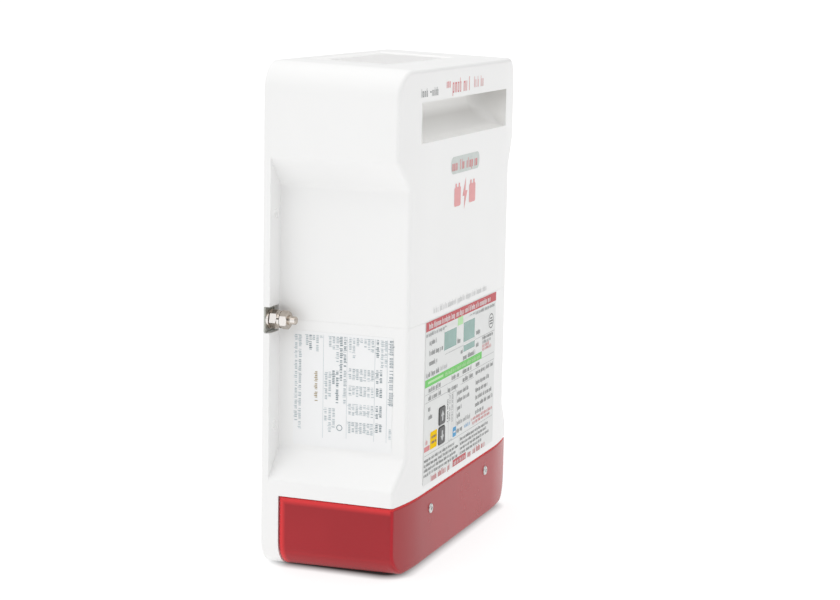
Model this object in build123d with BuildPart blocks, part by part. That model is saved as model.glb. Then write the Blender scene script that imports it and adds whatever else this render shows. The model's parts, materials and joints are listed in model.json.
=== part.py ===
from build123d import *
import math
import os

# Wall-mounted digital battery charger, all lengths in mm.
# +Z is up, the labelled front faces -Y, the wall side is +Y, the width runs along X.
# The origin is on the floor plane, at the middle of the outer box.

os.makedirs("parts", exist_ok=True)

# ---------------------------------------------------------------- driving dimensions
case_w = 215.0
case_h = 310.0
y_back = 46.0
y_front = -44.0
top_drop = 3.0
bottom_rise = 1.8
corner_r = 17.0
flat_half = 68.0
crown_r = 190.0
edge_r = 2.5
wall = 3.0

seam_z = 153.5
seam_gap = 0.3
mid_half = 92.5
recess_z = (55.6, 73.0, 235.5, 253.0)
flange_t = 4.3
flange_y = y_back - flange_t

plate_t = 1.2
plate_half = 94.0
plate_z = (6.0, 303.0)
ledge_y = 42.6
port_half = 88.0
port_z = (10.0, 300.0)
back_screw_x = 91.0
back_screw_z = (18.0, 52.0, 258.0, 294.0)

hole_x = 99.0
hole_z = (88.5, 218.5)
hole_r = 3.0

scoop_half = 79.5
scoop_z = (263.0, 287.4)
scoop_floor_back = 276.0
scoop_y = -19.5

cover_z = 45.7
cover_y = 34.7
cover_wall = 2.6
cover_rim = 2.0
bay_gap = 0.3
cover_screw_x = (-52.0, 53.5)
cover_screw_z = 33.5

label_half = 67.2
label_z = (50.8, 153.1)
label_t = 0.4
label_y = y_front - 0.02
key_x = -35.6
key_z = (89.3, 76.7)
key_size = (11.4, 11.2)
key_travel = 0.6
windows = ((-22.4, 137.4, 23.0, 14.4), (13.6, 137.0, 22.0, 15.2), (14.2, 125.6, 22.0, 5.2))

stud_x = -100.3
stud_z = 154.1
stud_r = 3.0
stud_tip = (27.0, 30.3, 30.8)
tip_r = 2.5

fan_x = 31.0
fan_y = 14.2
fan_size = 60.0
fan_z = (279.6, 299.6)
fan_pitch = 50.0
grille_half = 61.0
grille_y = (-14.5, 39.5)

board_y = 35.4
board_t = 1.6
board_half = 82.0
board_z = (58.0, 270.0)
board_screws_at = [(-74, 76), (74, 76), (-50, 150), (50, 150), (-74, 262), (74, 262)]
sink_z = (84.0, 252.0)

dc_x = (-72.0, -47.0, -22.0, 3.0)
dc_z = 18.0
dc_notch = (13.0, 7.0)
ac_x = 74.0
ac_z = (20.0, 38.0)
ac_notch = (22.0, 5.5)
clamp_z = (6.0, 14.0)


def facing(y):
    """Upright plane at this depth; sketches on it are seen from the front."""
    return Plane.XZ.offset(-y)


def crown_y(x, radius, front):
    """Depth of the crowned front at a distance x from the middle."""
    past = max(0.0, abs(x) - flat_half)
    return front + radius - math.sqrt(radius * radius - past * past)


def recessed_points(half, mid, height, low, shift):
    """Front outline of the case with its waist, as corner points from the lower left."""
    z0, z1, z2, z3 = recess_z
    right = [(half, low), (half, z0 - shift), (mid, z1 + shift)]
    right += [(mid, z2 - shift), (half, z3 + shift), (half, height)]
    left = [(-x, z) for x, z in reversed(right)]
    return left[-1:] + right + left[:-1]


def recessed_outline(plane, half, mid, height, low, shift, big_r):
    """Sketch of the waisted outline with every corner rounded."""
    with BuildSketch(plane) as outline:
        with BuildLine():
            Polyline(*recessed_points(half, mid, height, low, shift), close=True)
        make_face()
        ends = [v for v in outline.vertices() if not recess_z[0] - 20 < v.Y < recess_z[3] + 20]
        fillet(ends, big_r)
        waist = [v for v in outline.vertices() if abs(abs(v.X) - mid) < 0.01]
        fillet(waist, 5.0)
        z_steps = (recess_z[0] - shift, recess_z[3] + shift)
        steps = [
            v
            for v in outline.vertices()
            if abs(abs(v.X) - half) < 0.01 and min(abs(v.Y - z) for z in z_steps) < 0.01
        ]
        fillet(steps, 3.0)
    return outline.sketch


def plan_profile(half, front):
    """Plan view of the case: flat back, straight sides, softly crowned front."""
    radius = crown_r - (front - y_front)
    middle = (half + flat_half) / 2
    side = (half, crown_y(half, radius, front))
    bend = (middle, crown_y(middle, radius, front))
    with BuildSketch(Plane.XY.offset(-1)) as plan:
        with BuildLine():
            Line((-half, y_back), (half, y_back))
            Line((half, y_back), side)
            ThreePointArc(side, bend, (flat_half, front))
            Line((flat_half, front), (-flat_half, front))
            ThreePointArc((-flat_half, front), (-bend[0], bend[1]), (-side[0], side[1]))
            Line((-side[0], side[1]), (-half, y_back))
        make_face()
    return plan.sketch


def case_form():
    """Outside of the whole charger as one block, with waist, flanges and crowned front."""
    half = case_w / 2
    with BuildPart() as form:
        rear = recessed_outline(facing(flange_y), half, mid_half, case_h, 0, 0, corner_r)
        front = recessed_outline(
            facing(y_front), half, mid_half, case_h - top_drop, bottom_rise, 0, corner_r
        )
        loft(sections=[rear, front])
        with BuildSketch(facing(y_back)):
            with Locations((0, case_h / 2)):
                RectangleRounded(case_w, case_h, corner_r)
        extrude(amount=flange_t)
        extrude(plan_profile(half, y_front), amount=case_h + 2, mode=Mode.INTERSECT)
        front_loop = [
            e
            for e in form.edges()
            if e.bounding_box().max.Y < y_front + 6 and e.length > 0.5
            and e.bounding_box().size.Z + e.bounding_box().size.X > 0.4
        ]
        loop = []
        for e in front_loop:
            across = abs(e.center().X) < flat_half + 0.1 and e.bounding_box().size.Z > 200
            inner = abs(abs(e.center().X) - flat_half) < 0.1 and e.bounding_box().size.X < 0.01
            if not across and not inner:
                loop.append(e)
        fillet(loop, edge_r)
    return form.part


def cavity_form(front, back, low, high):
    """Space inside the case walls between two depths and two heights."""
    half = case_w / 2 - wall
    mid = mid_half - wall
    with BuildPart() as space:
        rear = recessed_outline(
            facing(back), half, mid, case_h - wall, wall, 1.5, corner_r - wall
        )
        near = recessed_outline(
            facing(front), half, mid, case_h - top_drop - wall, wall + bottom_rise, 1.5, corner_r - wall
        )
        loft(sections=[rear, near])
        extrude(plan_profile(half, front), amount=case_h + 2, mode=Mode.INTERSECT)
        with BuildSketch(Plane.XY.offset(low)):
            with Locations((0, (front + back) / 2)):
                Rectangle(case_w, back - front + 20)
        extrude(amount=high - low, mode=Mode.INTERSECT)
    return space.part



outside = case_form()
inside = cavity_form(y_front + wall, ledge_y, wall, case_h)
halves_gap = seam_gap / 2
tab_z = (seam_z - 7.1, seam_z + 8.5)
tab_mid = sum(tab_z) / 2
back_screws_at = [(sx * back_screw_x, z) for sx in (-1, 1) for z in back_screw_z]
top_slope = top_drop / (flange_y - y_front)

# ---------------------------------------------------------------- upper half of the case
with BuildPart() as upper_housing:
    add(outside)
    add(inside, mode=Mode.SUBTRACT)
    with BuildSketch(Plane.XY.offset(seam_z + halves_gap)):
        Rectangle(case_w + 20, 200)
    extrude(amount=case_h, mode=Mode.INTERSECT)
    # wall around the air scoop
    with BuildSketch(Plane.YZ):
        with BuildLine():
            Polyline(
                (y_front + 2, scoop_z[1] + 3),
                (scoop_y + 3, scoop_z[1] + 3),
                (scoop_y + 3, scoop_floor_back - 4),
                (-29, 262.5),
                (y_front + 2, scoop_z[0] - 3),
                close=True,
            )
        make_face()
    extrude(amount=scoop_half + 3, both=True)
    with BuildSketch(Plane.YZ):
        with BuildLine():
            Polyline(
                (y_front - 3, scoop_z[0]),
                (y_front - 3, scoop_z[1]),
                (scoop_y, scoop_z[1]),
                (scoop_y, scoop_floor_back),
            )
            ThreePointArc((scoop_y, scoop_floor_back), (-30, 266.4), (y_front, scoop_z[0]))
            Line((y_front, scoop_z[0]), (y_front - 3, scoop_z[0]))
        make_face()
    extrude(amount=scoop_half, both=True, mode=Mode.SUBTRACT)
    # screw bosses on the rear ledge, then the opening closed by the back plate
    with BuildSketch(facing(ledge_y + 0.5)):
        with Locations(*[p for p in back_screws_at if p[1] > seam_z]):
            Circle(4)
    extrude(amount=12.5)
    with BuildSketch(facing(y_back)):
        with Locations((0, (seam_z + port_z[1]) / 2)):
            Rectangle(2 * port_half, port_z[1] - seam_z)
    extrude(amount=4, mode=Mode.SUBTRACT)
    with BuildSketch(facing(y_back)):
        with Locations((0, (seam_z + plate_z[1] + 0.3) / 2)):
            Rectangle(2 * plate_half + 0.6, plate_z[1] + 0.3 - seam_z)
        with Locations((-case_w / 2, tab_mid)):
            Rectangle(2 * (case_w / 2 - plate_half + 0.4), tab_z[1] - tab_z[0] + 0.6)
    extrude(amount=plate_t, mode=Mode.SUBTRACT)
    with BuildSketch(facing(y_back)):
        with Locations((-case_w / 2, tab_mid)):
            Rectangle(2 * (case_w / 2 - plate_half + 0.4), tab_z[1] - tab_z[0] + 0.6)
    extrude(amount=flange_t + 0.4, mode=Mode.SUBTRACT)
    with BuildSketch(facing(y_back)):
        with Locations(*[p for p in back_screws_at if p[1] > seam_z]):
            Circle(1.56)
    extrude(amount=14, mode=Mode.SUBTRACT)
    with BuildSketch(facing(y_back)):
        with Locations((-hole_x, hole_z[1]), (hole_x, hole_z[1])):
            Circle(hole_r)
    extrude(amount=flange_t + 2, mode=Mode.SUBTRACT)
    # fan outlet in the top
    with BuildSketch(Plane.XY.offset(300)):
        with Locations((0, sum(grille_y) / 2)):
            RectangleRounded(2 * grille_half, grille_y[1] - grille_y[0], 3)
    extrude(amount=15, mode=Mode.SUBTRACT)

# ---------------------------------------------------------------- lower half of the case
with BuildPart() as bay_walls:
    with BuildSketch(Plane.XY.offset(cover_z + bay_gap)):
        with Locations((0, (y_front + 38) / 2)):
            Rectangle(case_w, 38 - y_front)
    extrude(amount=wall)
    with BuildSketch(facing(38)):
        with Locations((0, (cover_z + 3) / 2)):
            Rectangle(case_w, cover_z + 3)
    extrude(amount=38 - cover_y - bay_gap)
    add(outside, mode=Mode.INTERSECT)

with BuildPart() as lower_housing:
    add(outside)
    add(inside, mode=Mode.SUBTRACT)
    with BuildSketch(Plane.XY.offset(-2)):
        Rectangle(case_w + 20, 200)
    extrude(amount=seam_z - halves_gap + 2, mode=Mode.INTERSECT)
    # wiring bay: nothing in front of its rear wall
    with BuildSketch(Plane.XY.offset(-3)):
        with Locations((0, cover_y + bay_gap - 60)):
            Rectangle(case_w + 10, 120)
    extrude(amount=cover_z + bay_gap + 3, mode=Mode.SUBTRACT)
    add(bay_walls.part)
    # posts for the cover screws and the pad under the mains cord
    with BuildSketch(facing(cover_y + 1)):
        with Locations(*[(x, cover_screw_z) for x in cover_screw_x]):
            Circle(4.5)
    extrude(amount=cover_y + 1 - (y_front + cover_wall + 0.3))
    with BuildSketch(facing(cover_y + 1)):
        with Locations((ac_x, sum(clamp_z) / 2)):
            Rectangle(26, clamp_z[1] - clamp_z[0])
    extrude(amount=cover_y + 1 - 27.5)
    with BuildSketch(facing(-20)):
        with Locations(*[(x, cover_screw_z) for x in cover_screw_x]):
            Circle(1.6)
    extrude(amount=30, mode=Mode.SUBTRACT)
    with BuildSketch(facing(ledge_y + 0.5)):
        with Locations(*[p for p in back_screws_at if p[1] < seam_z]):
            Circle(4)
    extrude(amount=8)
    # posts for the control board
    with BuildSketch(facing(-36)):
        with Locations((-56, 64), (56, 64), (-56, 142), (56, 142)):
            Circle(3.5)
    extrude(amount=6)
    with BuildSketch(facing(-34)):
        with Locations((-56, 64), (56, 64), (-56, 142), (56, 142)):
            Circle(1.3)
    extrude(amount=7.5, mode=Mode.SUBTRACT)
    # rear opening, plate seat, tab notch, screw and mounting holes
    with BuildSketch(facing(y_back)):
        with Locations((0, (seam_z + port_z[0]) / 2)):
            Rectangle(2 * port_half, seam_z - port_z[0])
    extrude(amount=4, mode=Mode.SUBTRACT)
    with BuildSketch(facing(y_back)):
        with Locations((0, (seam_z + plate_z[0] - 0.3) / 2)):
            Rectangle(2 * plate_half + 0.6, seam_z - plate_z[0] + 0.3)
    extrude(amount=plate_t, mode=Mode.SUBTRACT)
    with BuildSketch(facing(y_back)):
        with Locations((-case_w / 2, tab_mid)):
            Rectangle(2 * (case_w / 2 - plate_half + 0.4), tab_z[1] - tab_z[0] + 0.6)
    extrude(amount=flange_t + 0.4, mode=Mode.SUBTRACT)
    with BuildSketch(facing(y_back)):
        with Locations(*[p for p in back_screws_at if p[1] < seam_z]):
            Circle(1.56)
    extrude(amount=10, mode=Mode.SUBTRACT)
    with BuildSketch(facing(y_back)):
        with Locations((-hole_x, hole_z[0]), (hole_x, hole_z[0])):
            Circle(hole_r)
    extrude(amount=flange_t + 2, mode=Mode.SUBTRACT)
    # windows, key pockets and light holes in the front wall
    with BuildSketch(facing(-38)):
        for x, z, w, h in windows:
            with Locations((x, z)):
                Rectangle(w, h)
        with Locations(*[(key_x, z) for z in key_z]):
            Circle(2.2)
        with Locations(*[(46, 62 + 6 * n) for n in range(8)]):
            Circle(1.8)
    extrude(amount=8, mode=Mode.SUBTRACT)
    with BuildSketch(facing(y_front + 0.9)):
        with Locations(*[(key_x, z) for z in key_z]):
            RectangleRounded(key_size[0] + 0.6, key_size[1] + 0.6, 1.8)
    extrude(amount=4, mode=Mode.SUBTRACT)
    # ways through the bay wall for the outlet studs and the mains leads
    with BuildSketch(facing(39)):
        with Locations(*[(x, dc_z) for x in dc_x]):
            Circle(3.3)
        with Locations((ac_x, 30)):
            Rectangle(22, 6)
    extrude(amount=5, mode=Mode.SUBTRACT)

# ---------------------------------------------------------------- red cover over the wiring bay
bay_space = cavity_form(y_front + cover_wall, ledge_y, cover_wall, 80)
with BuildPart() as terminal_cover:
    add(outside)
    add(bay_space, mode=Mode.SUBTRACT)
    with BuildSketch(Plane.XY.offset(-2)):
        with Locations((0, cover_y - 60)):
            Rectangle(case_w + 10, 120)
    extrude(amount=cover_z + 2, mode=Mode.INTERSECT)
    with BuildSketch(Plane.XY.offset(-2)):
        with Locations(*[(x, dc_notch[0]) for x in dc_x]):
            Circle(dc_notch[1])
        with Locations(*[(x, dc_notch[0] + 20) for x in dc_x]):
            Rectangle(2 * dc_notch[1], 40)
        with Locations((ac_x, ac_notch[0])):
            Circle(ac_notch[1])
        with Locations((ac_x, ac_notch[0] + 20)):
            Rectangle(2 * ac_notch[1], 40)
    extrude(amount=7, mode=Mode.SUBTRACT)
    with BuildSketch(facing(-30)):
        with Locations(*[(x, cover_screw_z) for x in cover_screw_x]):
            Circle(1.9)
    extrude(amount=20, mode=Mode.SUBTRACT)
    # soft outer edges along the top and round the rear
    rims = []
    for e in terminal_cover.edges():
        low, high = e.bounding_box().min, e.bounding_box().max
        at_side = abs(abs(e.center().X) - case_w / 2) < 0.1
        on_crown = abs(e.center().Y - crown_y(e.center().X, crown_r, y_front)) < 0.4
        if min(low.Z, high.Z) > cover_z - 0.01 and (at_side or on_crown):
            rims.append(e)
        elif low.Y > cover_y - 0.01 and at_side and high.Z > cover_z - 2:
            rims.append(e)
    fillet(rims, cover_rim)

with BuildPart() as cover_screws:
    with BuildSketch(facing(y_front)):
        with Locations(*[(x, cover_screw_z) for x in cover_screw_x]):
            Circle(3.1)
    extrude(amount=1.0)
    head_edges = cover_screws.edges().filter_by(GeomType.CIRCLE).group_by(Axis.Y)[0]
    fillet(head_edges, 0.8)
    with BuildSketch(facing(y_front - 1)):
        with Locations(*[(x, cover_screw_z) for x in cover_screw_x]):
            Rectangle(3.0, 0.8, rotation=20)
            Rectangle(0.8, 3.0, rotation=20)
    extrude(amount=-0.7, mode=Mode.SUBTRACT)
    with BuildSketch(facing(y_front + 14)):
        with Locations(*[(x, cover_screw_z) for x in cover_screw_x]):
            Circle(1.5)
    extrude(amount=14.5)

# ---------------------------------------------------------------- front label, windows, keys
with BuildPart() as label_panel:
    with BuildSketch(facing(label_y)):
        with Locations((0, sum(label_z) / 2)):
            RectangleRounded(2 * label_half, label_z[1] - label_z[0], 1.5)
        for x, z, w, h in windows:
            with Locations((x, z)):
                Rectangle(w, h, mode=Mode.SUBTRACT)
        with Locations(*[(key_x, z) for z in key_z]):
            RectangleRounded(key_size[0] + 0.6, key_size[1] + 0.6, 1.8, mode=Mode.SUBTRACT)
    extrude(amount=label_t)

with BuildPart() as display_windows:
    with BuildSketch(facing(label_y)):
        for x, z, w, h in windows:
            with Locations((x, z)):
                Rectangle(w - 0.1, h - 0.1)
    extrude(amount=label_t)


def press_key(z):
    """Soft key: a shallow rounded cap with a stem behind it."""
    with BuildPart() as key:
        with BuildSketch(facing(y_front + 0.2)):
            with Locations((key_x, z)):
                RectangleRounded(key_size[0], key_size[1], 1.6)
        extrude(amount=1.2)
        fillet(key.faces().sort_by(Axis.Y)[0].edges(), 0.4)
        with BuildSketch(facing(y_front + 2.6)):
            with Locations((key_x, z)):
                Circle(1.9)
        extrude(amount=3)
    return key.part


with BuildPart() as key_up:
    add(press_key(key_z[0]))

with BuildPart() as key_down:
    add(press_key(key_z[1]))

with BuildPart() as side_label:
    with BuildSketch(Plane.YZ.offset(-mid_half - 0.02)):
        with Locations((-0.4, 111.5)):
            RectangleRounded(65, 71, 1.5)
    extrude(amount=-0.25)

# ---------------------------------------------------------------- back plate and earth stud
with BuildPart() as back_plate:
    with BuildSketch(facing(y_back)):
        with Locations((0, sum(plate_z) / 2)):
            Rectangle(2 * plate_half, plate_z[1] - plate_z[0])
        with Locations((-(case_w / 2 + plate_half) / 2 + 1.5, tab_mid)):
            Rectangle(case_w / 2 - plate_half + 1, tab_z[1] - tab_z[0])
        with Locations((stud_x, stud_z)):
            Circle(stud_r + 0.02, mode=Mode.SUBTRACT)
        with Locations(*[(x, z) for x, z in board_screws_at]):
            Circle(1.5, mode=Mode.SUBTRACT)
    extrude(amount=plate_t)
    with BuildSketch(facing(y_back + 0.1)):
        with Locations(*back_screws_at):
            Circle(3.1)
    extrude(amount=plate_t + 0.2, taper=45, mode=Mode.SUBTRACT)

with BuildPart() as back_plate_screws:
    with BuildSketch(facing(y_back - 0.05)):
        with Locations(*back_screws_at):
            Circle(2.85)
    extrude(amount=1.1, taper=45)
    with BuildSketch(facing(y_back - 1)):
        with Locations(*back_screws_at):
            Circle(1.5)
    extrude(amount=7)
    with BuildSketch(facing(y_back - 0.05)):
        with Locations(*back_screws_at):
            Rectangle(3.0, 0.7)
            Rectangle(0.7, 3.0)
    extrude(amount=0.9, mode=Mode.SUBTRACT)

stud_seat = y_back - plate_t


def hex_nut(x, y, z, turn):
    """M6 nut with its rear face at depth y, turned about its stud, corners bevelled at both ends."""
    front = y - 5.0
    with BuildPart() as nut:
        with BuildSketch(facing(y)):
            with Locations((x, z)):
                RegularPolygon(5.77, 6, rotation=30 + turn)
                Circle(stud_r + 0.03, mode=Mode.SUBTRACT)
        extrude(amount=5.0)
        with BuildSketch(Plane.YZ.offset(x)):
            with BuildLine():
                Polyline((y + 0.01, z + 4.75), (y + 0.01, z + 6.5), (y - 1.0, z + 6.5), close=True)
            make_face()
            with BuildLine():
                Polyline(
                    (front - 0.01, z + 4.75), (front - 0.01, z + 6.5), (front + 1.0, z + 6.5), close=True
                )
            make_face()
        revolve(axis=Axis((x, 0, z), (0, 1, 0)), mode=Mode.SUBTRACT)
    return nut.part


with BuildPart() as earth_stud:
    with BuildSketch(Plane.YZ.offset(stud_x)):
        with BuildLine():
            Polyline(
                (y_back - 0.1, stud_z),
                (y_back - 0.1, stud_z + stud_r),
                (stud_tip[2], stud_z + stud_r),
                (stud_tip[1], stud_z + tip_r),
                (stud_tip[0] + 0.4, stud_z + tip_r),
                (stud_tip[0], stud_z + tip_r - 0.4),
                (stud_tip[0], stud_z),
                close=True,
            )
        make_face()
    revolve(axis=Axis((stud_x, 0, stud_z), (0, 1, 0)))

with BuildPart() as earth_washer:
    with BuildSketch(facing(stud_seat)):
        with Locations((stud_x, stud_z)):
            Circle(6.0)
            Circle(stud_r + 0.2, mode=Mode.SUBTRACT)
    extrude(amount=1.6)

with BuildPart() as earth_nuts:
    add(hex_nut(stud_x, stud_seat - 1.6, stud_z, -14))
    add(hex_nut(stud_x, stud_seat - 8.2, stud_z, 0))

with BuildPart() as earth_spring_washer:
    with BuildSketch(facing(stud_seat - 6.6)):
        with Locations((stud_x, stud_z)):
            Circle(5.3)
            Circle(stud_r + 0.2, mode=Mode.SUBTRACT)
        with Locations((stud_x - 4.2, stud_z + 1)):
            Rectangle(3.4, 0.9, rotation=-12, mode=Mode.SUBTRACT)
    extrude(amount=1.6)

# ---------------------------------------------------------------- fans and their grille
grille_mid = sum(grille_y) / 2
outer_z = case_h - top_drop + (grille_mid - y_front) * top_slope
inner_slope = top_drop / (ledge_y - y_front - wall)
inner_z = case_h - wall - top_drop + (grille_mid - y_front - wall) * inner_slope
tilt = Plane(origin=(0, grille_mid, inner_z), x_dir=(1, 0, 0), z_dir=(0, -top_slope, 1))
fan_posts = [(sx * fan_x + dx, fan_y + dy) for sx in (-1, 1) for dx in (-25, 25) for dy in (-25, 25)]
with BuildPart() as top_grille:
    with BuildSketch(tilt.offset(-2.2)):
        Rectangle(2 * grille_half + 8, grille_y[1] - grille_y[0] + 5.4)
    extrude(amount=2.1)
    with BuildSketch(tilt.offset(-1)):
        RectangleRounded(2 * grille_half - 0.6, grille_y[1] - grille_y[0] - 0.6, 2.8)
    extrude(amount=outer_z - inner_z - 0.2)
    with BuildSketch(tilt.offset(-4)):
        with Locations(*[(-52 + 8 * n, 0) for n in range(14)]):
            SlotOverall(44, 4.2, rotation=90)
    extrude(amount=10, mode=Mode.SUBTRACT)
    with BuildSketch(Plane.XY.offset(fan_z[1] + 0.05)):
        with Locations(*fan_posts):
            Circle(3.0)
    extrude(amount=5.5)
    with BuildSketch(Plane.XY.offset(fan_z[1])):
        with Locations(*fan_posts):
            Circle(2.05)
    extrude(amount=3.6, mode=Mode.SUBTRACT)


def fan_frame(x):
    """Square fan frame with its motor seat and three struts."""
    with BuildPart() as frame:
        with BuildSketch(Plane.XY.offset(fan_z[0])):
            with Locations((x, fan_y)):
                RectangleRounded(fan_size, fan_size, 3)
                Circle(28.6, mode=Mode.SUBTRACT)
            with Locations(*[(x + dx, fan_y + dy) for dx in (-25, 25) for dy in (-25, 25)]):
                Circle(2.2, mode=Mode.SUBTRACT)
        extrude(amount=fan_z[1] - fan_z[0])
        with BuildSketch(Plane.XY.offset(fan_z[0])):
            with Locations((x, fan_y)):
                Circle(13.5)
            for a in (90, 210, 330):
                away = (x + 21 * math.cos(math.radians(a)), fan_y + 21 * math.sin(math.radians(a)))
                with Locations(away):
                    Rectangle(18, 3, rotation=a)
        extrude(amount=2.2)
        with BuildSketch(Plane.XY.offset(fan_z[0])):
            with Locations((x, fan_y)):
                Circle(4)
        extrude(amount=11)
        with BuildSketch(Plane.XY.offset(fan_z[0] + 1)):
            with Locations((x, fan_y)):
                Circle(1.58)
        extrude(amount=12, mode=Mode.SUBTRACT)
    return frame.part


def fan_rotor(x):
    """Seven-bladed rotor with a cup hub and a shaft."""
    with BuildPart() as rotor:
        with BuildSketch(Plane.XY.offset(fan_z[0] + 3.4)):
            with Locations((x, fan_y)):
                Circle(14.5)
                Circle(13.0, mode=Mode.SUBTRACT)
        extrude(amount=15.0)
        with BuildSketch(Plane.XY.offset(fan_z[0] + 16.6)):
            with Locations((x, fan_y)):
                Circle(14.5)
        extrude(amount=1.8)
        with BuildSketch(Plane.XY.offset(fan_z[0] + 2.0)):
            with Locations((x, fan_y)):
                Circle(1.5)
        extrude(amount=15)
        for n in range(7):
            a = math.radians(360 / 7 * n)
            outward = (math.cos(a), math.sin(a), 0)
            around = (-math.sin(a), math.cos(a), 0)
            root = (x + 13.8 * outward[0], fan_y + 13.8 * outward[1], fan_z[0] + 10.6)
            with BuildSketch(Plane(origin=root, x_dir=around, z_dir=outward)):
                Rectangle(15, 1.4, rotation=38)
            extrude(amount=13.2)
    return rotor.part


with BuildPart() as fan_frame_left:
    add(fan_frame(-fan_x))

with BuildPart() as fan_frame_right:
    add(fan_frame(fan_x))

with BuildPart() as fan_rotor_left:
    add(fan_rotor(-fan_x))

with BuildPart() as fan_rotor_right:
    add(fan_rotor(fan_x))

with BuildPart() as fan_screws:
    with BuildSketch(Plane.XY.offset(fan_z[0])):
        with Locations(*fan_posts):
            Circle(3.6)
    extrude(amount=-2.0)
    with BuildSketch(Plane.XY.offset(fan_z[0] - 0.5)):
        with Locations(*fan_posts):
            Circle(2.0)
    extrude(amount=23)

# ---------------------------------------------------------------- control board behind the label
with BuildPart() as control_board:
    with BuildSketch(facing(-34.4)):
        with Locations((0, 103)):
            Rectangle(124, 90)
        with Locations((-56, 64), (56, 64), (-56, 142), (56, 142)):
            Circle(1.6, mode=Mode.SUBTRACT)
    extrude(amount=board_t)

with BuildPart() as control_board_screws:
    with BuildSketch(facing(-34.4)):
        with Locations((-56, 64), (56, 64), (-56, 142), (56, 142)):
            Circle(2.6)
    extrude(amount=-1.6)
    with BuildSketch(facing(-34.0)):
        with Locations((-56, 64), (56, 64), (-56, 142), (56, 142)):
            Circle(1.25)
    extrude(amount=7)

with BuildPart() as display_modules:
    with BuildSketch(facing(-36)):
        for x, z, w, h in windows:
            with Locations((x, z)):
                Rectangle(w - 0.6, h - 0.6)
    extrude(amount=7.4)

with BuildPart() as key_switches:
    with BuildSketch(facing(-36)):
        with Locations(*[(key_x, z) for z in key_z]):
            Rectangle(6, 6)
    extrude(amount=3.5)
    with BuildSketch(facing(-39.5)):
        with Locations(*[(key_x, z) for z in key_z]):
            Circle(1.7)
    extrude(amount=1.1)

with BuildPart() as status_leds:
    with BuildSketch(facing(-36)):
        with Locations(*[(46, 62 + 6 * n) for n in range(8)]):
            Circle(1.5)
    extrude(amount=6.5)

with BuildPart() as ribbon_cable:
    with BuildSketch(Plane.YZ):
        with BuildLine():
            Polyline(
                (-34.3, 120), (-30, 120), (-24, 128), (-10, 150), (20, 164), (30, 164), (30, 160),
                (33.7, 160), (33.7, 165.2), (19.6, 165.2), (-11, 151.2), (-25.2, 129),
                (-30.5, 121.6), (-34.3, 121.6), close=True,
            )
        make_face()
    extrude(amount=9, both=True)

# ---------------------------------------------------------------- main board and its parts
with BuildPart() as main_board:
    with BuildSketch(facing(board_y)):
        with Locations((0, sum(board_z) / 2)):
            Rectangle(2 * board_half, board_z[1] - board_z[0])
        with Locations(*board_screws_at):
            Circle(1.7, mode=Mode.SUBTRACT)
    extrude(amount=board_t)

with BuildPart() as board_standoffs:
    with BuildSketch(facing(stud_seat)):
        with Locations(*board_screws_at):
            RegularPolygon(3.2, 6)
            Circle(1.5, mode=Mode.SUBTRACT)
    extrude(amount=stud_seat - board_y)

with BuildPart() as board_screws:
    with BuildSketch(facing(board_y - board_t)):
        with Locations(*board_screws_at):
            Circle(2.8)
    extrude(amount=1.9)
    with BuildSketch(facing(board_y - board_t + 8)):
        with Locations(*board_screws_at):
            Circle(1.45)
    extrude(amount=8.5)

board_face = board_y - board_t


def heat_sink(side):
    """Finned extrusion standing beside the board parts, fins towards the middle."""
    with BuildPart() as sink:
        with BuildSketch(Plane.XY.offset(sink_z[0])):
            with Locations((side * 76, (board_face - 0.2 - 12) / 2)):
                Rectangle(4, board_face - 0.2 + 12)
            for n in range(6):
                with Locations((side * 67, -10.5 + 8 * n)):
                    Rectangle(15, 1.6)
        extrude(amount=sink_z[1] - sink_z[0])
    return sink.part


with BuildPart() as heatsink_left:
    add(heat_sink(-1))

with BuildPart() as heatsink_right:
    add(heat_sink(1))

with BuildPart() as power_transistors:
    for side in (-1, 1):
        with BuildSketch(Plane.YZ.offset(side * 78.02)):
            with Locations(*[(18, 104 + 42 * n) for n in range(4)]):
                Rectangle(20, 15.6)
        extrude(amount=side * 4.8)
        with BuildSketch(Plane.YZ.offset(side * 79.6)):
            with Locations(*[(30.4, 104 + 42 * n + d) for n in range(4) for d in (-5, 0, 5)]):
                Rectangle(5.6, 1.2)
        extrude(amount=side * 0.8)

with BuildPart() as transformer_core:
    with BuildSketch(facing(board_face - 5)):
        with Locations((-22, 205)):
            Rectangle(54, 52)
            Rectangle(34, 32, mode=Mode.SUBTRACT)
    extrude(amount=18)
    with BuildSketch(facing(board_face - 5)):
        with Locations((-22, 205)):
            Rectangle(13, 40)
    extrude(amount=18)

with BuildPart() as transformer_winding:
    with BuildSketch(Plane.XY.offset(189.4)):
        with Locations((-22, board_face - 14)):
            RectangleRounded(33.4, 26, 8)
            Rectangle(13.6, 19, mode=Mode.SUBTRACT)
    extrude(amount=31.2)

with BuildPart() as choke_core:
    with BuildSketch(facing(board_face - 3)):
        with Locations((32, 205)):
            Circle(18)
            Circle(9, mode=Mode.SUBTRACT)
    extrude(amount=14)

with BuildPart() as choke_winding:
    for n in range(16):
        a = math.radians(360 / 16 * n)
        out = (math.cos(a), 0, math.sin(a))
        turn = Plane(origin=(32, board_face - 10, 205), x_dir=out, z_dir=(-out[2], 0, out[0]))
        with BuildSketch(turn.offset(-0.8)):
            with Locations((13.5, 0)):
                Rectangle(12.4, 17.4)
                Rectangle(9.2, 14.2, mode=Mode.SUBTRACT)
        extrude(amount=1.6)

with BuildPart() as input_capacitors:
    with BuildSketch(facing(board_face)):
        with Locations((-42, 108), (-17, 108), (8, 108)):
            Circle(11)
    extrude(amount=42)
    tops = input_capacitors.edges().filter_by(GeomType.CIRCLE).group_by(Axis.Y)[0]
    fillet(tops, 1.2)

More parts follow.
